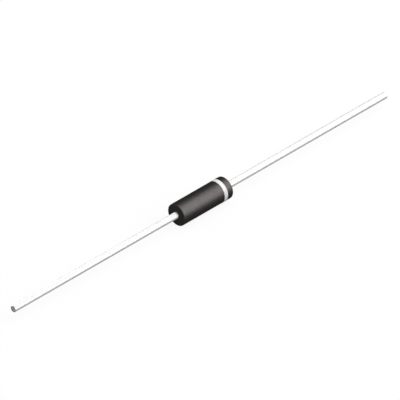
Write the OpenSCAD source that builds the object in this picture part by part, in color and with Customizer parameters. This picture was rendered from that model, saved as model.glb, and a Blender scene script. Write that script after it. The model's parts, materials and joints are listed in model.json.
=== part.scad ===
// Axial-lead zener diode in a moulded case, in millimetres.
// The case axis lies along X with the origin at the centre of the case.
// The banded cathode end is at +X and the plain anode end is at -X.

/* [Case] */
// Diameter of the moulded case
case_d = 2.7; // [2.4:0.1:3.6]
// Length of the moulded case
case_l = 7.6; // [5.8:0.1:9.0]
// Radius on the edge of each end of the case
case_edge_r = 0.08; // [0.02:0.01:0.2]

/* [Cathode band] */
// Width of the printed band along the case
band_w = 0.52; // [0.3:0.02:1.0]
// Bare length of case between the band and the cathode end
band_inset = 0.84; // [0.2:0.02:1.4]
// Thickness of the ink
band_t = 0.02; // [0.01:0.005:0.05]

/* [Leads] */
// Diameter of the tinned wire
lead_d = 0.8; // [0.6:0.02:0.86]
// Free length of each lead outside the case
lead_l = 25.4; // [10:0.2:40]
// Chamfer where the wire is cut to length
lead_chamfer = 0.06; // [0.02:0.01:0.12]

/* [Nail heads] */
// Diameter of the head upset on the inner end of each lead
head_d = 1.8; // [1.5:0.05:2.0]
// Thickness of the head
head_t = 0.4; // [0.25:0.05:0.8]
// Radius on the rim of the head
head_rim_r = 0.1; // [0.04:0.01:0.12]
// Height of the cone that joins the head to its shank
head_cone_h = 0.25; // [0.1:0.05:0.6]
// Diameter of the shank under the head, from where it tapers to the wire
neck_d = 0.94; // [0.9:0.02:1.1]

/* [Chip] */
// Side of the square silicon chip
chip_side = 1.3; // [1.1:0.05:1.4]
// Thickness of the chip, mesa included
chip_t = 0.28; // [0.2:0.02:0.4]
// Height of the mesa on the anode side
mesa_h = 0.06; // [0.03:0.01:0.1]
// Distance from the edge of the chip to the mesa
mesa_inset = 0.05; // [0.02:0.01:0.1]
// Thickness of each solder disc
solder_t = 0.06; // [0.03:0.01:0.1]
// Bare margin of the mesa round its solder disc
solder_margin = 0.03; // [0.01:0.01:0.1]
// Cover of silicone beyond the heads and the corners of the chip
coating_cover = 0.12; // [0.06:0.02:0.16]

/* [Hidden] */
$fn = 96;
case_end = case_l / 2;
lead_end = case_end + lead_l;
band_start = case_end - band_inset - band_w;

// The chip lies across the axis at the origin, with a solder disc and a nail head on each side
stack_t = chip_t + 2 * solder_t;
head_face = stack_t / 2;
head_back = head_face + head_t;
head_flat_r = head_d / 2 - head_rim_r;
mesa_side = chip_side - 2 * mesa_inset;
solder_d = mesa_side - 2 * solder_margin;
chip_corner_r = chip_side * sqrt(2) / 2;
coating_r = max(head_d / 2, chip_corner_r) + coating_cover;

// Turns what is drawn up Z so that it points along +X
module along_x() {
    rotate([0, 90, 0]) children();
}

// Mirrors what is drawn for the cathode side to the anode side
module to_anode() {
    mirror([1, 0, 0]) children();
}

// Half section of a round bar on the axis, with both end edges rounded
module round_bar_section(r, length, edge_r) {
    square([r - edge_r, length]);
    translate([0, edge_r]) square([r, length - 2 * edge_r]);
    translate([r - edge_r, edge_r]) circle(edge_r);
    translate([r - edge_r, length - edge_r]) circle(edge_r);
}

// Half section of the cathode lead, from the face of its head to the cut end of the wire
module lead_section() {
    translate([0, head_face]) round_bar_section(head_d / 2, head_t, head_rim_r);
    polygon([
        [0, head_back],
        [head_flat_r, head_back],
        [neck_d / 2, head_back + head_cone_h],
        [lead_d / 2, case_end],
        [lead_d / 2, lead_end - lead_chamfer],
        [lead_d / 2 - lead_chamfer, lead_end],
        [0, lead_end]
    ]);
}

// Nail-headed wire on the cathode side, whose shank tapers to the wire where it leaves the case
module lead_wire() {
    along_x() rotate_extrude() lead_section();
}

// Outer form of the silicone between the two heads
module coating_form() {
    along_x() translate([0, 0, -head_face]) rotate_extrude() round_bar_section(coating_r, stack_t, solder_t);
}

// Solder disc on the cathode face of the chip
module solder_disc() {
    along_x() translate([0, 0, chip_t / 2]) cylinder(d = solder_d, h = solder_t);
}

// Square chip with its mesa towards the anode
module chip_form() {
    chip_body_t = chip_t - mesa_h;
    translate([chip_t / 2 - chip_body_t, -chip_side / 2, -chip_side / 2]) cube([chip_body_t, chip_side, chip_side]);
    translate([-chip_t / 2, -mesa_side / 2, -mesa_side / 2]) cube([mesa_h, mesa_side, mesa_side]);
}

module epoxy_case() {
    color("#1c1c1d") difference() {
        along_x() translate([0, 0, -case_end]) rotate_extrude() round_bar_section(case_d / 2, case_l, case_edge_r);
        lead_wire();
        to_anode() lead_wire();
        coating_form();
    }
}

module cathode_band() {
    color("#f2f2f0") along_x() translate([0, 0, band_start]) difference() {
        cylinder(d = case_d + 2 * band_t, h = band_w);
        translate([0, 0, -band_w]) cylinder(d = case_d, h = 3 * band_w);
    }
}

module anode_lead() {
    color("#d9dadb") to_anode() lead_wire();
}

module cathode_lead() {
    color("#d9dadb") lead_wire();
}

module zener_chip() {
    color("#5a5f68") chip_form();
}

module anode_solder() {
    color("#a7abb0") to_anode() solder_disc();
}

module cathode_solder() {
    color("#a7abb0") solder_disc();
}

module junction_coating() {
    color("#e9e7e1") difference() {
        coating_form();
        chip_form();
        solder_disc();
        to_anode() solder_disc();
    }
}

epoxy_case();
cathode_band();
anode_lead();
cathode_lead();
zener_chip();
anode_solder();
cathode_solder();
junction_coating();
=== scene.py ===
"""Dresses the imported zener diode.

The case, the band and the wires get fine meshes, every piece gets its finish, and a white studio and the
photograph's camera are set round them.
"""

import json
import logging
import math
from collections.abc import Callable, Iterator, Mapping
from contextlib import contextmanager
from dataclasses import dataclass
from enum import Enum
from typing import NamedTuple

import bmesh
import bpy
from mathutils import Matrix, Vector


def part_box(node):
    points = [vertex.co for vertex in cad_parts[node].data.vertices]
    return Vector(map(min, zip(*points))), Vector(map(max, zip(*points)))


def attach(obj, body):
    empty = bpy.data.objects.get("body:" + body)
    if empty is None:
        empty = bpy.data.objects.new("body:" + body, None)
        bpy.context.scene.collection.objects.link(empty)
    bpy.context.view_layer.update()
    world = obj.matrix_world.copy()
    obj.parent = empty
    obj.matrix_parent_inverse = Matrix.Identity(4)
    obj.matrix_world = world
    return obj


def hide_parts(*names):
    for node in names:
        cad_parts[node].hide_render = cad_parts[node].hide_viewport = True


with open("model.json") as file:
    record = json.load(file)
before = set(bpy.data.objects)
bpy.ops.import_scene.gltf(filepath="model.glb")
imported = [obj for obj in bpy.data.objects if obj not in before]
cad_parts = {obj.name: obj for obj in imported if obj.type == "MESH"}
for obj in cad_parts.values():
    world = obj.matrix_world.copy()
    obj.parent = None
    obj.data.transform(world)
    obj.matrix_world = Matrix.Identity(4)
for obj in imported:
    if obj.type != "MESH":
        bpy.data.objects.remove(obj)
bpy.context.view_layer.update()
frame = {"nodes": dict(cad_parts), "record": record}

MM = 0.001
BODY = "root"

# The halves of the mould meet on the plane through the axis that has this normal.
PARTING = Vector((0.0, -1.0, 1.0)).normalized()

Triple = tuple[float, float, float]
Colour = Triple
Span = tuple[float, float]

log = logging.getLogger("zener_diode")


class End(Enum):
    """The two ends of the diode, each with its sign along X."""

    CATHODE = 1
    ANODE = -1


class Piece(Enum):
    """Names of the new pieces, and of the floor under them."""

    CASE = "moulded_case"
    BAND = "printed_band"
    CATHODE_WIRE = "cathode_wire"
    ANODE_WIRE = "anode_wire"
    FLOOR = "studio_floor"


class Element(Enum):
    """What edit mode selects, with the name of its list in a mesh."""

    EDGE = "edges"
    FACE = "faces"


class Slot(Enum):
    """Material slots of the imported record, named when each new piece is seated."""

    EPOXY = "epoxy"
    INK = "band_ink"
    TIN = "tinned_copper"


class Op(Enum):
    """Operations of the Math node that the finishes use."""

    ADD = "ADD"
    SUBTRACT = "SUBTRACT"
    MULTIPLY = "MULTIPLY"
    ABSOLUTE = "ABSOLUTE"
    SQUARE_ROOT = "SQRT"
    MAXIMUM = "MAXIMUM"


class Grain(NamedTuple):
    """A cloudy pattern: its largest grains in millimetres, and the layers and strength of finer ones."""

    size: float
    detail: float = 3.0
    rough: float = 0.55


class Signal:
    """One output of a node, which Python expressions turn into Math nodes."""

    def __init__(self, graph: "Graph", node: bpy.types.Node, output: str | int) -> None:
        """Keeps the output and the graph that it belongs to.

        Args:
            graph: The graph that adds the nodes of an expression.
            node: The node.
            output: The name or place of its output.
        """
        self.graph = graph
        self.node = node
        self.output = output

    @property
    def socket(self) -> bpy.types.NodeSocket:
        """The socket of the output."""
        return self.node.outputs[self.output]

    def tap(self, output: str) -> "Signal":
        """Another output of the same node."""
        return Signal(self.graph, self.node, output)

    def __add__(self, other: "Value") -> "Signal":
        """The sum of both."""
        return self.graph.math(Op.ADD, self, other)

    def __radd__(self, other: "Value") -> "Signal":
        """The sum of both."""
        return self.graph.math(Op.ADD, other, self)

    def __sub__(self, other: "Value") -> "Signal":
        """This less the other."""
        return self.graph.math(Op.SUBTRACT, self, other)

    def __rsub__(self, other: "Value") -> "Signal":
        """The other less this."""
        return self.graph.math(Op.SUBTRACT, other, self)

    def __mul__(self, other: "Value") -> "Signal":
        """The product of both."""
        return self.graph.math(Op.MULTIPLY, self, other)

    def __rmul__(self, other: "Value") -> "Signal":
        """The product of both."""
        return self.graph.math(Op.MULTIPLY, other, self)

    def __abs__(self) -> "Signal":
        """The size of this, without its sign."""
        return self.graph.math(Op.ABSOLUTE, self)

    def rise(self, low: float, high: float) -> "Signal":
        """A smooth step over this, which is 0 up to the low value and 1 from the high one."""
        inputs = {"Value": self, "From Min": low, "From Max": high}
        return self.graph.add("ShaderNodeMapRange", {"interpolation_type": "SMOOTHSTEP"}, inputs)

    def swing(self, reach: float) -> "Signal":
        """This, from 0 to 1, as a swing about 0 that has the given reach from end to end."""
        return (self - 0.5) * reach


Value = Signal | float


def opaque(colour: Colour) -> tuple[float, float, float, float]:
    """A colour with full alpha."""
    return (*colour, 1.0)


class Graph:
    """Adds nodes to one node tree and links them."""

    def __init__(self, tree: bpy.types.NodeTree) -> None:
        """Empties the tree of a material or a world, ready for new nodes."""
        self.tree = tree
        tree.nodes.clear()

    def add(
        self,
        kind: str,
        settings: Mapping[str, object] | None = None,
        inputs: Mapping[str | int, object] | None = None,
        output: str | int = 0,
    ) -> Signal:
        """Adds one node.

        Args:
            kind: The node's type.
            settings: Its properties, which are set first.
            inputs: The value or the signal for each socket, by name or place.
            output: The output to hand back.

        Returns:
            The signal from that output.
        """
        node = self.tree.nodes.new(kind)
        for key, value in (settings or {}).items():
            setattr(node, key, value)
        for key, value in (inputs or {}).items():
            if isinstance(value, Signal):
                self.tree.links.new(value.socket, node.inputs[key])
            else:
                node.inputs[key].default_value = value
        return Signal(self, node, output)

    def math(self, operation: Op, *values: Value) -> Signal:
        """Adds a Math node that works on some values."""
        return self.add("ShaderNodeMath", {"operation": operation.value}, dict(enumerate(values)))

    def mix(self, share: Value, first: Signal | Colour, second: Signal | Colour) -> Signal:
        """Mixes two colours.

        Args:
            share: The share of the second colour.
            first: The colour at share 0.
            second: The colour at share 1.

        Returns:
            The mixed colour.
        """
        share_at, first_at, second_at, result_at = 0, 6, 7, 2
        colours = [c if isinstance(c, Signal) else opaque(c) for c in (first, second)]
        inputs = {share_at: share, first_at: colours[0], second_at: colours[1]}
        return self.add("ShaderNodeMix", {"data_type": "RGBA"}, inputs, result_at)

    def place(self) -> Signal:
        """The place on the piece in millimetres, in the frame of the diode."""
        place = self.add("ShaderNodeTexCoord", output="Object")
        return self.add("ShaderNodeVectorMath", {"operation": "SCALE"}, {0: place, "Scale": 1 / MM})

    def stretch(self, place: Signal, factors: Triple) -> Signal:
        """A place scaled by its own factor on each axis."""
        return self.add("ShaderNodeVectorMath", {"operation": "MULTIPLY"}, {0: place, 1: factors})

    def coordinates(self, place: Signal) -> tuple[Signal, Signal, Signal]:
        """The X, Y and Z of a place."""
        x = self.add("ShaderNodeSeparateXYZ", inputs={0: place}, output="X")
        return x, x.tap("Y"), x.tap("Z")

    def noise(self, place: Signal, grain: Grain) -> Signal:
        """A cloudy pattern from 0 to 1, read at a place."""
        inputs = {"Vector": place, "Scale": 1 / grain.size, "Detail": grain.detail, "Roughness": grain.rough}
        return self.add("ShaderNodeTexNoise", inputs=inputs)

    def cells(self, place: Signal, size: float) -> Signal:
        """A random level from 0 to 1 for each cell of a crystal pattern, with the size of a cell."""
        cell = self.add("ShaderNodeTexVoronoi", inputs={"Vector": place, "Scale": 1 / size}, output="Color")
        return self.add("ShaderNodeSeparateColor", inputs={0: cell})

    def bump(self, height: Signal, depth: float) -> Signal:
        """The normal of a relief from 0 to 1, with its full depth in millimetres."""
        return self.add("ShaderNodeBump", inputs={"Height": height, "Distance": depth * MM, "Strength": 1.0})

    def rays(self) -> tuple[Signal, Signal]:
        """Masks of the rays from the camera, and of those that a glossy or clear surface sends on."""
        camera = self.add("ShaderNodeLightPath", output="Is Camera Ray")
        return camera, camera.tap("Is Glossy Ray") + camera.tap("Is Transmission Ray")

    def surface(self, **sockets: object) -> None:
        """Ends the graph with a Principled shader, whose sockets are named with _ for a space."""
        inputs = {name.replace("_", " "): value for name, value in sockets.items()}
        self.finish(self.add("ShaderNodeBsdfPrincipled", inputs=inputs))

    def finish(self, shader: Signal, kind: str = "ShaderNodeOutputMaterial") -> None:
        """Links a shader to an output node of the given type."""
        self.add(kind, inputs={"Surface": shader})


@dataclass(frozen=True)
class Finish:
    """What every finish has: a name, and a graph that paints it. Its lengths are in millimetres."""

    name: str

    def paint(self, graph: Graph) -> None:
        """Adds the nodes of the finish to the graph of a new material."""
        raise NotImplementedError

    def material(self) -> bpy.types.Material:
        """Makes the material.

        Returns:
            The new material.
        """
        made = bpy.data.materials.new(self.name)
        made.use_nodes = True
        self.paint(Graph(made.node_tree))
        return made


@dataclass(frozen=True)
class MouldedEpoxy(Finish):
    """Black moulding compound: the fine grain of its mould, filler specks and a faint parting line."""

    half_length: float
    radius: float
    black: Colour = (0.0055, 0.0047, 0.0044)
    filler: Colour = (0.028, 0.0255, 0.0246)
    rubbed: Colour = (0.027, 0.0248, 0.024)
    sheen_tint: Colour = (1.0, 0.935, 0.92)
    roughness: float = 0.47
    ior: float = 1.9
    grain: Grain = Grain(0.05, 4.0, 0.6)
    grain_dull: float = 0.1
    grain_height: float = 0.7
    mottle: Grain = Grain(0.7, 2.0)
    mottle_share: float = 0.12
    mottle_dull: float = 0.06
    speck: Grain = Grain(0.03, 1.0)
    speck_span: Span = (0.62, 0.72)
    speck_share: float = 0.35
    line_w: float = 0.018
    line_shine: float = 0.06
    line_height: float = 0.3
    edge_w: float = 0.1
    edge_wear: float = 0.8
    end_from: float = 0.06
    end_to: float = 0.01
    end_wear: float = 0.5
    end_dull: float = 0.16
    relief: float = 0.011

    def paint(self, graph: Graph) -> None:
        """Adds the nodes of the finish.

        Args:
            graph: The graph of a new material.
        """
        place = graph.place()
        x, side, height = graph.coordinates(place)
        along = abs(x)
        out = graph.math(Op.SQUARE_ROOT, side * side + height * height)
        off_line = abs(side * PARTING.y + height * PARTING.z)
        grain = graph.noise(place, self.grain)
        mottle = graph.noise(place, self.mottle)
        specks = graph.noise(place, self.speck).rise(*self.speck_span)
        line = 1.0 - off_line.rise(0.0, self.line_w)
        edge = along.rise(self.half_length - self.edge_w, self.half_length)
        edge = edge * out.rise(self.radius - self.edge_w, self.radius)
        ends = along.rise(self.half_length - self.end_from, self.half_length - self.end_to)
        colour = graph.mix(specks * self.speck_share + mottle * self.mottle_share, self.black, self.filler)
        colour = graph.mix(edge * grain * self.edge_wear + ends * self.end_wear, colour, self.rubbed)
        rough = self.roughness + mottle.swing(self.mottle_dull) + grain.swing(self.grain_dull)
        rough = rough - line * self.line_shine + ends * self.end_dull
        graph.surface(
            Base_Color=colour,
            Roughness=rough,
            Normal=graph.bump(grain * self.grain_height + line * self.line_height, self.relief),
            IOR=self.ior,
            Specular_Tint=opaque(self.sheen_tint),
        )


@dataclass(frozen=True)
class PrintedInk(Finish):
    """White marking ink, a little thin at its edges and with fine pinholes."""

    start: float
    end: float
    white: Colour = (0.89, 0.872, 0.86)
    thin: Colour = (0.68, 0.665, 0.655)
    roughness: float = 0.5
    grain: Grain = Grain(0.06)
    grain_dull: float = 0.14
    grain_height: float = 0.6
    wobble: Grain = Grain(0.12, 2.0)
    wobble_reach: float = 0.02
    wobble_height: float = 0.4
    pinhole: Grain = Grain(0.03, 1.0)
    pinhole_span: Span = (0.7, 0.78)
    pinhole_thin: float = 0.3
    edge_w: float = 0.025
    edge_thin: float = 0.6
    edge_dull: float = 0.08
    relief: float = 0.008

    def paint(self, graph: Graph) -> None:
        """Adds the nodes of the finish.

        Args:
            graph: The graph of a new material.
        """
        place = graph.place()
        x, _, _ = graph.coordinates(place)
        grain = graph.noise(place, self.grain)
        wobble = graph.noise(place, self.wobble)
        holes = graph.noise(place, self.pinhole).rise(*self.pinhole_span)
        inset = (self.end - self.start) / 2 - abs(x - (self.start + self.end) / 2)
        edge = 1.0 - (inset - wobble * self.wobble_reach).rise(0.0, self.edge_w)
        colour = graph.mix(edge * self.edge_thin + holes * self.pinhole_thin, self.white, self.thin)
        rough = self.roughness + grain.swing(self.grain_dull) + edge * self.edge_dull
        normal = graph.bump(grain * self.grain_height + wobble * self.wobble_height, self.relief)
        graph.surface(Base_Color=colour, Roughness=rough, Normal=normal)


@dataclass(frozen=True)
class TinPlate(Finish):
    """Bright tin on copper wire: draw lines, crystal grains, a painted shade at the root and a sheared cut
    end.
    """

    case_end: float
    cut_end: float
    bright: Colour = (0.90, 0.90, 0.90)
    grey: Colour = (0.80, 0.80, 0.80)
    # The colour of the painted shade on the wire just outside the case.
    painted_root_shade: Colour = (0.05, 0.05, 0.05)
    sheared: Colour = (0.44, 0.44, 0.44)
    metallic: float = 0.6
    roughness: float = 0.42
    line: Grain = Grain(0.05, 3.0, 0.6)
    line_length: float = 5.0
    line_share: float = 0.2
    line_dull: float = 0.1
    line_height: float = 0.7
    crystal: float = 0.16
    crystal_share: float = 0.25
    crystal_dull: float = 0.05
    crystal_height: float = 0.1
    # The length and strength of that painted shade; the same stretch is also a little duller.
    root_shade_w: float = 0.4
    root_shade_share: float = 0.9
    root_dull: float = 0.06
    cut_from: float = 0.03
    cut_to: float = 0.01
    cut_share: float = 0.5
    cut_dull: float = 0.12
    mark: Grain = Grain(0.05, 2.0)
    mark_stretch: Triple = (1.0, 0.15, 1.0)
    mark_height: float = 0.4
    relief: float = 0.008

    def paint(self, graph: Graph) -> None:
        """Adds the nodes of the finish.

        Args:
            graph: The graph of a new material.
        """
        place = graph.place()
        x, _, _ = graph.coordinates(place)
        along = abs(x)
        drawn = graph.stretch(place, (self.line.size / self.line_length, 1.0, 1.0))
        lines = graph.noise(drawn, self.line)
        crystals = graph.cells(place, self.crystal)
        marks = graph.noise(graph.stretch(place, self.mark_stretch), self.mark)
        cut = along.rise(self.cut_end - self.cut_from, self.cut_end - self.cut_to)
        # Painted shade: the tin goes dark over its last 0.4 mm before the case, in place of the case's dark
        # face mirrored in the wire.
        root = 1.0 - abs(along - self.case_end).rise(0.0, self.root_shade_w)
        colour = graph.mix(crystals * self.crystal_share + lines * self.line_share, self.bright, self.grey)
        colour = graph.mix(root * root * self.root_shade_share, colour, self.painted_root_shade)
        colour = graph.mix(cut * (self.cut_share + marks * (1 - self.cut_share)), colour, self.sheared)
        rough = self.roughness + lines.swing(self.line_dull) + crystals.swing(self.crystal_dull)
        rough = rough + root * self.root_dull + cut * self.cut_dull
        height = lines * self.line_height + crystals * self.crystal_height + cut * marks * self.mark_height
        normal = graph.bump(height, self.relief)
        graph.surface(Base_Color=colour, Metallic=self.metallic, Roughness=rough, Normal=normal)


@dataclass(frozen=True)
class SiliconDie(Finish):
    """Sawn and ground silicon, steel grey, with grinding lines and a duller etched rim."""

    half_side: float
    bright: Colour = (0.30, 0.32, 0.36)
    dull: Colour = (0.16, 0.17, 0.20)
    metallic: float = 1.0
    roughness: float = 0.22
    line: Grain = Grain(0.03)
    line_stretch: Triple = (1.0, 0.05, 1.0)
    line_share: float = 0.4
    line_dull: float = 0.12
    grain: Grain = Grain(0.08)
    rim_w: float = 0.06
    rim_share: float = 0.5
    rim_dull: float = 0.3
    relief: float = 0.0008

    def paint(self, graph: Graph) -> None:
        """Adds the nodes of the finish.

        Args:
            graph: The graph of a new material.
        """
        place = graph.place()
        _, side, height = graph.coordinates(place)
        lines = graph.noise(graph.stretch(place, self.line_stretch), self.line)
        grain = graph.noise(place, self.grain)
        reach = graph.math(Op.MAXIMUM, abs(side), abs(height))
        rim = reach.rise(self.half_side - self.rim_w, self.half_side)
        colour = graph.mix(lines * self.line_share + rim * self.rim_share, self.bright, self.dull)
        rough = self.roughness + lines * self.line_dull + rim * self.rim_dull
        normal = graph.bump(lines + grain, self.relief)
        graph.surface(Base_Color=colour, Metallic=self.metallic, Roughness=rough, Normal=normal)


@dataclass(frozen=True)
class SoftSolder(Finish):
    """High-lead solder, grey and a little frosted."""

    bright: Colour = (0.62, 0.63, 0.65)
    frosted: Colour = (0.46, 0.47, 0.49)
    metallic: float = 1.0
    roughness: float = 0.36
    flow: Grain = Grain(0.2)
    flow_share: float = 0.5
    frost: float = 0.05
    frost_share: float = 0.4
    frost_dull: float = 0.15
    relief: float = 0.003

    def paint(self, graph: Graph) -> None:
        """Adds the nodes of the finish.

        Args:
            graph: The graph of a new material.
        """
        place = graph.place()
        flow = graph.noise(place, self.flow)
        frost = graph.cells(place, self.frost)
        colour = graph.mix(flow * self.flow_share + frost * self.frost_share, self.bright, self.frosted)
        rough = self.roughness + frost * self.frost_dull
        normal = graph.bump(flow, self.relief)
        graph.surface(Base_Color=colour, Metallic=self.metallic, Roughness=rough, Normal=normal)


@dataclass(frozen=True)
class JunctionSilicone(Finish):
    """Milky silicone that seals the edge of the chip."""

    milky: Colour = (0.80, 0.79, 0.75)
    clear: Colour = (0.66, 0.64, 0.58)
    roughness: float = 0.34
    cloud: Grain = Grain(0.3, 4.0)
    cloud_span: Span = (0.35, 0.7)
    skin: Grain = Grain(0.06, 2.0)
    skin_dull: float = 0.12
    relief: float = 0.002

    def paint(self, graph: Graph) -> None:
        """Adds the nodes of the finish.

        Args:
            graph: The graph of a new material.
        """
        place = graph.place()
        cloud = graph.noise(place, self.cloud).rise(*self.cloud_span)
        skin = graph.noise(place, self.skin)
        rough = self.roughness + skin * self.skin_dull
        normal = graph.bump(skin, self.relief)
        graph.surface(Base_Color=graph.mix(cloud, self.milky, self.clear), Roughness=rough, Normal=normal)


@dataclass(frozen=True)
class WhitePaper(Finish):
    """The floor's paper: white to the camera and with the diode's shadow, dim to all other rays."""

    grey: float = 0.04
    white: float = 1.0
    camera_glow: float = 0.9
    mirror_glow: float = 0.02

    def paint(self, graph: Graph) -> None:
        """Adds the nodes of the finish.

        Args:
            graph: The graph of a new material.
        """
        camera, mirror = graph.rays()
        shade = graph.mix(camera, (self.grey,) * 3, (self.white,) * 3)
        paper = graph.add("ShaderNodeBsdfDiffuse", inputs={"Color": shade})
        glow = graph.add("ShaderNodeEmission", inputs={"Strength": 1.0})
        share = camera * self.camera_glow + mirror * self.mirror_glow
        graph.finish(graph.add("ShaderNodeMixShader", inputs={0: share, 1: paper, 2: glow}))


class Station(NamedTuple):
    """One ring of a turned outline: its place along X and its radius, in metres."""

    x: float
    r: float

    @classmethod
    def of(cls, place: Vector) -> "Station":
        """The ring that a place lies on."""
        return cls(place.x, math.hypot(place.y, place.z))

    def holds(self, place: Vector, near: float) -> bool:
        """Whether a place lies on this ring, or as near to it as given."""
        ring = Station.of(place)
        return abs(ring.x - self.x) < near and abs(ring.r - self.r) < near


@dataclass(frozen=True)
class DiodeSizes:
    """Sizes of the diode in metres, taken from the frame where it holds them."""

    case_r: float
    case_end: float
    band_r: float
    band_start: float
    band_end: float
    lead_r: float
    lead_end: float
    head_r: float
    head_face: float
    coating_r: float
    coating_edge_r: float
    chip_half: float
    case_edge_r: float = 0.08 * MM
    head_t: float = 0.4 * MM
    head_rim_r: float = 0.1 * MM
    head_cone_h: float = 0.25 * MM
    neck_r: float = 0.47 * MM
    lead_chamfer: float = 0.06 * MM
    arc_steps: int = 4

    @classmethod
    def from_frame(cls) -> "DiodeSizes":
        """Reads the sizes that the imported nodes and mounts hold.

        Returns:
            The sizes.
        """
        pin = next(m for m in frame["record"]["mounts"] if m["name"] == "cathode_pin")
        case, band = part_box("epoxy_case")[1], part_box("cathode_band")
        lead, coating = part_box("cathode_lead"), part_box("junction_coating")[1]
        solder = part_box("cathode_solder")
        return cls(
            case_r=case.z,
            case_end=case.x,
            band_r=band[1].z,
            band_start=band[0].x,
            band_end=band[1].x,
            lead_r=pin["dims"]["r_mm"] * MM,
            lead_end=lead[1].x,
            head_r=lead[1].z,
            head_face=lead[0].x,
            coating_r=coating.z,
            coating_edge_r=solder[1].x - solder[0].x,
            chip_half=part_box("zener_chip")[1].z,
        )

    def arc(self, centre: Station, radius: float, start: float, end: float) -> list[Station]:
        """Stations along a round edge, without its first point.

        Args:
            centre: The centre of the round.
            radius: Its radius.
            start: Its first angle in degrees, from +X outwards.
            end: Its last angle.

        Returns:
            The stations in order.
        """
        steps = range(1, self.arc_steps + 1)
        angles = [math.radians(start + (end - start) * i / self.arc_steps) for i in steps]
        return [Station(centre.x + radius * math.cos(a), centre.r + radius * math.sin(a)) for a in angles]

    def head_outline(self) -> list[Station]:
        """The outline of a lead inside the case, from its taper to the face of its nail head.

        Returns:
            The stations, from the neck of the shank inwards.
        """
        back = self.head_face + self.head_t
        flat_r = self.head_r - self.head_rim_r
        outer = Station(back - self.head_rim_r, flat_r)
        inner = Station(self.head_face + self.head_rim_r, flat_r)
        return [
            Station(back + self.head_cone_h, self.neck_r),
            Station(back, flat_r),
            *self.arc(outer, self.head_rim_r, 0, 90),
            Station(inner.x, self.head_r),
            *self.arc(inner, self.head_rim_r, 90, 180),
        ]

    def cavity_outline(self) -> list[Station]:
        """The outline of the hollow in the case, from the neck of a lead to the middle of the coating.

        Returns:
            The stations, from the neck inwards.
        """
        corner = Station(self.head_face - self.coating_edge_r, self.coating_r - self.coating_edge_r)
        return [
            *self.head_outline(),
            Station(self.head_face, corner.r),
            *self.arc(corner, self.coating_edge_r, 0, 90),
            Station(0.0, self.coating_r),
        ]


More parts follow.
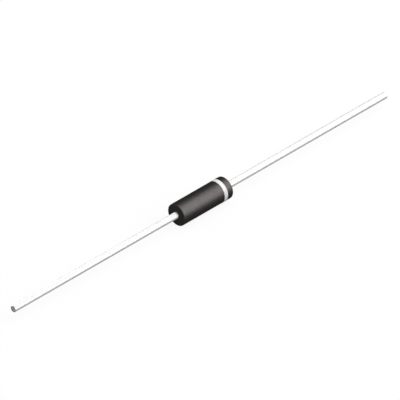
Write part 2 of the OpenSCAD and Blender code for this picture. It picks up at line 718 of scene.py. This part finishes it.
class Workpiece:
    """A mesh object while it is shaped in edit mode."""

    NEAR: float = 1.0e-6
    MERGE: float = 1.0e-7
    HARD_ANGLE: float = 28.0
    FACE_WEIGHT: int = 100

    def __init__(self, made: bpy.types.Object) -> None:
        """Keeps the mesh object to shape."""
        self.made = made

    @classmethod
    def round_bar(cls, name: Piece, radius: float, span: Span, sides: int, capped: bool) -> "Workpiece":
        """Adds a cylinder that lies along X.

        Args:
            name: The piece's name.
            radius: Its radius.
            span: Where it starts and ends on X.
            sides: How many sides it has.
            capped: Whether its ends are closed.

        Returns:
            The new workpiece.
        """
        start, end = span
        bpy.ops.object.select_all(action="DESELECT")
        bpy.ops.mesh.primitive_cylinder_add(
            vertices=sides,
            radius=radius,
            depth=end - start,
            end_fill_type="NGON" if capped else "NOTHING",
            location=((start + end) / 2, 0.0, 0.0),
            rotation=(0.0, math.pi / 2, 0.0),
        )
        return cls(bpy.context.active_object).settle(name)

    def settle(self, name: Piece) -> "Workpiece":
        """Names a new object and puts its place and turn into its mesh.

        Args:
            name: The piece's name.

        Returns:
            This workpiece.
        """
        self.made.name = name.value
        self.made.data.name = name.value
        bpy.ops.object.transform_apply(location=True, rotation=True, scale=True)
        return self

    @contextmanager
    def editing(self, element: Element) -> Iterator[None]:
        """Opens the piece in edit mode with nothing selected.

        Args:
            element: What is selected there.

        Yields:
            Nothing.
        """
        self.choose()
        bpy.ops.object.mode_set(mode="EDIT")
        bpy.ops.mesh.select_mode(type=element.name)
        bpy.ops.mesh.select_all(action="DESELECT")
        yield
        bpy.ops.object.mode_set(mode="OBJECT")

    def pick(self, element: Element, belongs: Callable[[list[Vector]], bool]) -> None:
        """Selects the faces or edges whose corners pass a test, and nothing else.

        Args:
            element: Whether faces or edges are selected.
            belongs: The test, on the places of the corners.
        """
        bpy.ops.mesh.select_all(action="DESELECT")
        mesh = bmesh.from_edit_mesh(self.made.data)
        for item in getattr(mesh, element.value):
            item.select_set(belongs([v.co for v in item.verts]))
        bmesh.update_edit_mesh(self.made.data)

    def pick_cap(self, x: float) -> None:
        """Selects the flat faces that lie across the axis at one place on X."""
        self.pick(Element.FACE, lambda corners: all(abs(c.x - x) < self.NEAR for c in corners))

    def pick_rings(self, stations: list[Station]) -> None:
        """Selects the round edges at some stations."""
        self.pick(Element.EDGE, lambda ends: any(all(s.holds(e, self.NEAR) for e in ends) for s in stations))

    @staticmethod
    def push(start: Station, stations: list[Station]) -> None:
        """Extrudes the selected cap from ring to ring.

        Args:
            start: Where the cap is.
            stations: Where it goes, one ring after the other.
        """
        here = start
        for station in stations:
            step = (station.x - here.x, 0.0, 0.0)
            bpy.ops.mesh.extrude_region_move(TRANSFORM_OT_translate={"value": step})
            ratio = station.r / here.r
            bpy.ops.transform.resize(value=(1.0, ratio, ratio), center_override=(station.x, 0.0, 0.0))
            here = station

    @staticmethod
    def bevel(width: float, segments: int) -> None:
        """Rounds the selected edges."""
        bpy.ops.mesh.bevel(offset=width, segments=segments, affect="EDGES")

    def close(self) -> None:
        """Merges doubled corners and turns all faces outwards."""
        bpy.ops.mesh.select_all(action="SELECT")
        bpy.ops.mesh.remove_doubles(threshold=self.MERGE)
        bpy.ops.mesh.select_all(action="SELECT")
        bpy.ops.mesh.normals_make_consistent(inside=False)

    def choose(self) -> None:
        """Selects the piece alone and makes it the active one."""
        bpy.ops.object.select_all(action="DESELECT")
        self.made.select_set(True)
        bpy.context.view_layer.objects.active = self.made

    def resize(self, factor: float) -> None:
        """Scales the piece's mesh about the origin.

        Args:
            factor: The factor on all three axes.
        """
        self.choose()
        self.made.scale = (factor,) * 3
        bpy.ops.object.transform_apply(location=True, rotation=True, scale=True)

    def apply(self, kind: str, **settings: object) -> None:
        """Adds a modifier and applies it.

        Args:
            kind: The modifier's type.
            settings: Its properties.
        """
        self.choose()
        modifier = self.made.modifiers.new(kind.lower(), kind)
        for key, value in settings.items():
            setattr(modifier, key, value)
        bpy.ops.object.modifier_apply(modifier=modifier.name)

    def smooth(self) -> None:
        """Shades the piece smooth, with its hard edges and flat faces kept."""
        self.choose()
        bpy.ops.object.shade_smooth_by_angle(angle=math.radians(self.HARD_ANGLE))
        # In metres the finest faces are too small to be weighed, so the mesh is in millimetres meanwhile.
        self.resize(1 / MM)
        self.apply("WEIGHTED_NORMAL", keep_sharp=True, weight=self.FACE_WEIGHT)
        self.resize(MM)

    def copy_turned(self, name: Piece) -> "Workpiece":
        """Copies the piece to the other end of the diode, by half a turn about Z.

        Args:
            name: The copy's name.

        Returns:
            The copy, with a mesh of its own.
        """
        self.choose()
        bpy.ops.object.duplicate(linked=False)
        bpy.ops.transform.rotate(value=math.pi, orient_axis="Z", center_override=(0.0, 0.0, 0.0))
        return Workpiece(bpy.context.active_object).settle(name)

    def seat(self, node: str, slot: Slot, material: bpy.types.Material) -> bpy.types.Object:
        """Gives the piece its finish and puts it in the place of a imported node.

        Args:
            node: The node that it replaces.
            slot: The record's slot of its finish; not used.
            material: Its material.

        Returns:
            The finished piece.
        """
        self.made.data.materials.clear()
        self.made.data.materials.append(material)
        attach(self.made, BODY)
        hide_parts(node)
        log.info("%s: %d faces, for %s", self.made.name, len(self.made.data.polygons), node)
        return self.made


@dataclass
class MouldedCase:
    """The black case, moulded round the leads and the chip."""

    sizes: DiodeSizes
    sides: int = 160
    edge_segments: int = 5
    ridge_w: float = 0.02 * MM
    ridge_h: float = 0.006 * MM
    ridge_segments: int = 2

    @property
    def flat_r(self) -> float:
        """The radius of the flat part of an end."""
        return self.sizes.case_r - self.sizes.case_edge_r

    def build(self) -> Workpiece:
        """Models the case with its end edges rounded, its parting ridge and its hollow for the inner pieces.

        Returns:
            The workpiece.
        """
        sizes = self.sizes
        span = (-sizes.case_end, sizes.case_end)
        piece = Workpiece.round_bar(Piece.CASE, sizes.case_r, span, self.sides, capped=True)
        with piece.editing(Element.FACE):
            for end in End:
                self.hollow(piece, end)
            piece.pick_cap(0.0)
            bpy.ops.mesh.delete(type="ONLY_FACE")
            piece.close()
        with piece.editing(Element.EDGE):
            piece.pick_rings([Station(end.value * sizes.case_end, sizes.case_r) for end in End])
            piece.bevel(sizes.case_edge_r, self.edge_segments)
            self.part(piece)
        piece.smooth()
        return piece

    def hollow(self, piece: Workpiece, end: End) -> None:
        """Insets one end to the wire and drives the hollow in to the middle of the case.

        Args:
            piece: The case, in edit mode.
            end: The end to start from.
        """
        sizes = self.sizes
        mouth = Station(end.value * sizes.case_end, sizes.lead_r)
        piece.pick_cap(mouth.x)
        bpy.ops.mesh.inset(thickness=sizes.case_r - sizes.lead_r, use_even_offset=False)
        piece.push(mouth, [Station(end.value * s.x, s.r) for s in sizes.cavity_outline()])

    def part(self, piece: Workpiece) -> None:
        """Raises the fine ridge that the halves of the mould leave round the case, down to the wires.

        Args:
            piece: The case, in edit mode.
        """
        piece.pick(Element.EDGE, lambda ends: all(self.on_line(e) for e in ends))
        piece.bevel(self.ridge_w / 2, self.ridge_segments)
        piece.pick(Element.EDGE, lambda ends: all(self.on_crest(e) for e in ends))
        bpy.ops.transform.shrink_fatten(value=self.ridge_h)

    def on_line(self, place: Vector) -> bool:
        """Whether a place lies on the parting plane, and on the outside of the case.

        Args:
            place: The place.

        Returns:
            True if it does.
        """
        near = Workpiece.NEAR
        ring = Station.of(place)
        outside = ring.r > self.flat_r - near or abs(ring.x) > self.sizes.case_end - near
        return outside and abs(place.dot(PARTING)) < near

    def on_crest(self, place: Vector) -> bool:
        """Whether a place lies on the line where it is raised, which leaves out its ends at the wires."""
        return self.on_line(place) and Station.of(place).r > self.flat_r / 2

    def dress(self, piece: Workpiece) -> None:
        """Gives the case its finish.

        Args:
            piece: The case.
        """
        finish = MouldedEpoxy("moulded_epoxy", self.sizes.case_end / MM, self.sizes.case_r / MM)
        case = piece.seat("epoxy_case", Slot.EPOXY, finish.material())
        # The photograph's wires stay white up to the case, so they do not mirror its dark face; the tin's
        # finish paints a short shade at the root in its place.
        case.visible_glossy = False


@dataclass
class PrintedBand:
    """The white cathode band printed round the case."""

    sizes: DiodeSizes
    sides: int = 160
    shoulder: float = 0.008 * MM
    shoulder_segments: int = 3
    wander: float = 0.006 * MM
    waves: tuple[int, ...] = (3, 7, 16, 29)
    start_lag: float = 1.0
    end_lag: float = 2.3

    def build(self) -> Workpiece:
        """Models the ink as a thin ring with round shoulders.

        Returns:
            The workpiece.
        """
        sizes = self.sizes
        span = (sizes.band_start, sizes.band_end)
        piece = Workpiece.round_bar(Piece.BAND, sizes.case_r, span, self.sides, capped=False)
        piece.apply("SOLIDIFY", thickness=sizes.band_r - sizes.case_r, offset=1.0)
        with piece.editing(Element.EDGE):
            piece.close()
            piece.pick_rings([Station(x, sizes.band_r) for x in span])
            piece.bevel(self.shoulder, self.shoulder_segments)
            self.roughen(piece)
        piece.smooth()
        return piece

    def roughen(self, piece: Workpiece) -> None:
        """Lets both edges of the print wander a little round the case.

        Args:
            piece: The band, in edit mode.
        """
        middle = (self.sizes.band_start + self.sizes.band_end) / 2
        reach = self.wander / math.sqrt(len(self.waves))
        mesh = bmesh.from_edit_mesh(piece.made.data)
        for vert in mesh.verts:
            lag = self.start_lag if vert.co.x < middle else self.end_lag
            turn = math.atan2(vert.co.z, vert.co.y) + lag
            vert.co.x += reach * sum(math.sin(n * turn) for n in self.waves)
        bmesh.update_edit_mesh(piece.made.data)

    def dress(self, piece: Workpiece) -> None:
        """Gives the band its finish."""
        finish = PrintedInk("marking_ink", self.sizes.band_start / MM, self.sizes.band_end / MM)
        piece.seat("cathode_band", Slot.INK, finish.material())


@dataclass
class LeadPair:
    """The two nail-headed wires, modelled once at the cathode and copied to the anode."""

    sizes: DiodeSizes
    sides: int = 96
    chamfer_segments: int = 3

    def build(self) -> tuple[Workpiece, Workpiece]:
        """Models the cathode wire and turns a copy of it to the anode.

        Returns:
            The cathode wire and the anode wire.
        """
        sizes = self.sizes
        root = Station(sizes.case_end, sizes.lead_r)
        span = (root.x, sizes.lead_end)
        wire = Workpiece.round_bar(Piece.CATHODE_WIRE, root.r, span, self.sides, capped=True)
        with wire.editing(Element.FACE):
            wire.pick_cap(root.x)
            wire.push(root, sizes.head_outline())
        with wire.editing(Element.EDGE):
            wire.pick_rings([Station(sizes.lead_end, root.r)])
            wire.bevel(sizes.lead_chamfer, self.chamfer_segments)
        wire.smooth()
        return wire, wire.copy_turned(Piece.ANODE_WIRE)

    def dress(self, wires: tuple[Workpiece, Workpiece]) -> None:
        """Gives both wires their finish.

        Args:
            wires: The cathode wire and the anode wire.
        """
        material = TinPlate("bright_tin", self.sizes.case_end / MM, self.sizes.lead_end / MM).material()
        for wire, node in zip(wires, ("cathode_lead", "anode_lead")):
            lead = wire.seat(node, Slot.TIN, material)
            # The photograph's end face stays black round its wire, so it does not mirror the tin.
            lead.visible_glossy = False


@dataclass
class ChipStack:
    """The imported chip, solder and coating inside the case, which keep their shapes."""

    sizes: DiodeSizes

    def dress(self) -> None:
        """Gives each packed inner piece its finish."""
        solder = SoftSolder("soft_solder").material()
        finishes = {
            "zener_chip": SiliconDie("silicon_die", self.sizes.chip_half / MM).material(),
            "anode_solder": solder,
            "cathode_solder": solder,
            "junction_coating": JunctionSilicone("junction_silicone").material(),
        }
        for node, material in finishes.items():
            packed = frame["nodes"][node]
            packed.data.materials.clear()
            packed.data.materials.append(material)
            log.info("%s: packed shape, %s", node, material.name)


def placed(x: Vector, y: Vector, z: Vector, place: Vector) -> Matrix:
    """The matrix of an object from its axes.

    Args:
        x: Its X axis.
        y: Its Y axis.
        z: Its Z axis.
        place: Where it is.

    Returns:
        The 4 by 4 matrix.
    """
    matrix = Matrix((x, y, z)).transposed().to_4x4()
    matrix.translation = place
    return matrix


@dataclass(frozen=True)
class Softbox:
    """A rectangular studio light that faces the diode and lights only the pieces that it names."""

    name: str
    towards: Triple
    radiance: float
    only: tuple[Piece, ...]
    long_way: Triple = (0.0, 1.0, 1.0)
    length: float = 1.0
    width: float = 0.2
    spread: float = 140.0
    distance: float = 0.4
    slide: float = 0.0
    past_others: bool = False

    def build(self) -> None:
        """Adds the light, with the power that gives its radiance."""
        lamp = bpy.data.lights.new(self.name, "AREA")
        lamp.shape = "RECTANGLE"
        lamp.size = self.length
        lamp.size_y = self.width
        lamp.spread = math.radians(self.spread)
        lamp.energy = self.radiance * math.pi * self.length * self.width
        holder = bpy.data.objects.new(self.name, lamp)
        bpy.context.scene.collection.objects.link(holder)
        back = Vector(self.towards).normalized()
        along = Vector(self.long_way)
        along = (along - along.project(back)).normalized()
        place = back * self.distance + along * self.slide
        holder.matrix_world = placed(along, back.cross(along), back, place)
        holder.visible_camera = False
        self.limit(holder)
        log.info("%s: light of radiance %.2f", self.name, self.radiance)

    def limit(self, holder: bpy.types.Object) -> None:
        """Keeps the light to its own pieces.

        Args:
            holder: The light's object.
        """
        group = bpy.data.collections.new(self.name)
        for piece in self.only:
            group.objects.link(bpy.data.objects[piece.value])
        holder.light_linking.receiver_collection = group
        if self.past_others:
            holder.light_linking.blocker_collection = group


@dataclass(frozen=True)
class WireCard(Softbox):
    """A white card along the diode that only the wires mirror, and that no other piece hides from them."""

    only: tuple[Piece, ...] = (Piece.CATHODE_WIRE, Piece.ANODE_WIRE)
    long_way: Triple = (1.0, 0.0, 0.0)
    spread: float = 180.0
    past_others: bool = True


@dataclass(frozen=True)
class LightTent:
    """The world: white to the camera, and a plain light tent to the diode, dim where it is mirrored."""

    camera_level: float = 1.0
    mirror_level: float = 0.06
    level: float = 0.62

    def build(self) -> None:
        """Makes the world and gives it to the scene."""
        world = bpy.data.worlds.new("light_tent")
        bpy.context.scene.world = world
        world.use_nodes = True
        graph = Graph(world.node_tree)
        camera, mirror = graph.rays()
        level = self.level + camera * (self.camera_level - self.level)
        level = level + mirror * (self.mirror_level - self.level)
        sky = graph.add("ShaderNodeBackground", inputs={"Color": opaque((1.0, 1.0, 1.0)), "Strength": level})
        graph.finish(sky, "ShaderNodeOutputWorld")


@dataclass
class Studio:
    """The white floor that the case lies on, the light tent and the lights."""

    floor_z: float
    floor_size: float = 3.0

    def build(self) -> None:
        """Builds the stage and its light."""
        self.floor()
        LightTent().build()
        for light in self.lights():
            light.build()

    def floor(self) -> None:
        """Adds the floor."""
        bpy.ops.object.select_all(action="DESELECT")
        bpy.ops.mesh.primitive_plane_add(size=self.floor_size, location=(0.0, 0.0, self.floor_z))
        floor = bpy.context.active_object
        floor.name = Piece.FLOOR.value
        floor.data.materials.append(WhitePaper("white_floor").material())

    @staticmethod
    def lights() -> list[Softbox]:
        """The lights of the studio.

        Returns:
            A key that the case mirrors to the camera, two more that it mirrors to other views, and white
            cards that the wires mirror.
        """
        case = (Piece.CASE,)
        plain = (Piece.CASE, Piece.BAND, Piece.FLOOR)
        return [
            Softbox("key_softbox", (1.0, -1.0, 1.0), radiance=2.1, only=plain),
            Softbox("side_softbox", (0.0, -1.0, 1.0), radiance=0.8, only=case),
            Softbox("far_softbox", (-1.0, -1.0, 1.0), radiance=1.1, only=case),
            WireCard(
                "back_card", (0.0, 1.0, 0.4), radiance=2.08,
                length=0.4, width=0.08, distance=0.1, slide=-0.16,
            ),
            WireCard(
                "top_card", (0.0, 0.0, 1.0), radiance=1.216,
                length=0.9, width=1.0, distance=0.26, slide=0.53,
            ),
            WireCard(
                "front_card", (0.0, -1.0, 0.1), radiance=2.8,
                length=1.6, width=0.24, distance=0.5,
            ),
        ]


@dataclass(frozen=True)
class PhotoCamera:
    """A very long lens at the photograph's isometric angle."""

    azimuth: float = -44.95
    elevation: float = 35.19
    lens: float = 1650.0
    sensor: float = 36.0
    frame_width: float = 44.44 * MM
    frame_px: float = 400.0
    right_px: float = 0.6
    down_px: float = 1.23
    clip_ratio: float = 10.0

    def build(self) -> None:
        """Adds the camera and makes it the scene's own."""
        a, e = math.radians(self.azimuth), math.radians(self.elevation)
        back = Vector((math.sin(a) * math.cos(e), -math.cos(a) * math.cos(e), math.sin(e)))
        right = Vector((math.cos(a), math.sin(a), 0.0))
        up = back.cross(right)
        pixel = self.frame_width / self.frame_px
        aim = up * self.down_px * pixel - right * self.right_px * pixel
        distance = self.frame_width * self.lens / self.sensor
        lens = bpy.data.cameras.new("photo_camera")
        lens.lens = self.lens
        lens.sensor_width = self.sensor
        lens.clip_start = distance / self.clip_ratio
        lens.clip_end = distance * self.clip_ratio
        holder = bpy.data.objects.new("photo_camera", lens)
        bpy.context.scene.collection.objects.link(holder)
        holder.matrix_world = placed(right, up, back, aim + back * distance)
        bpy.context.scene.camera = holder
        log.info("photo_camera: %.3f m away", distance)


def main() -> None:
    """Builds the diode's pieces in order, then the studio and the camera."""
    logging.basicConfig(level=logging.INFO, format="%(name)s %(message)s")
    bpy.context.scene.view_settings.view_transform = "Standard"
    sizes = DiodeSizes.from_frame()
    for part in (MouldedCase(sizes), PrintedBand(sizes), LeadPair(sizes)):
        part.dress(part.build())
    ChipStack(sizes).dress()
    Studio(floor_z=-sizes.band_r).build()
    PhotoCamera().build()


if __name__ == "__main__":
    main()
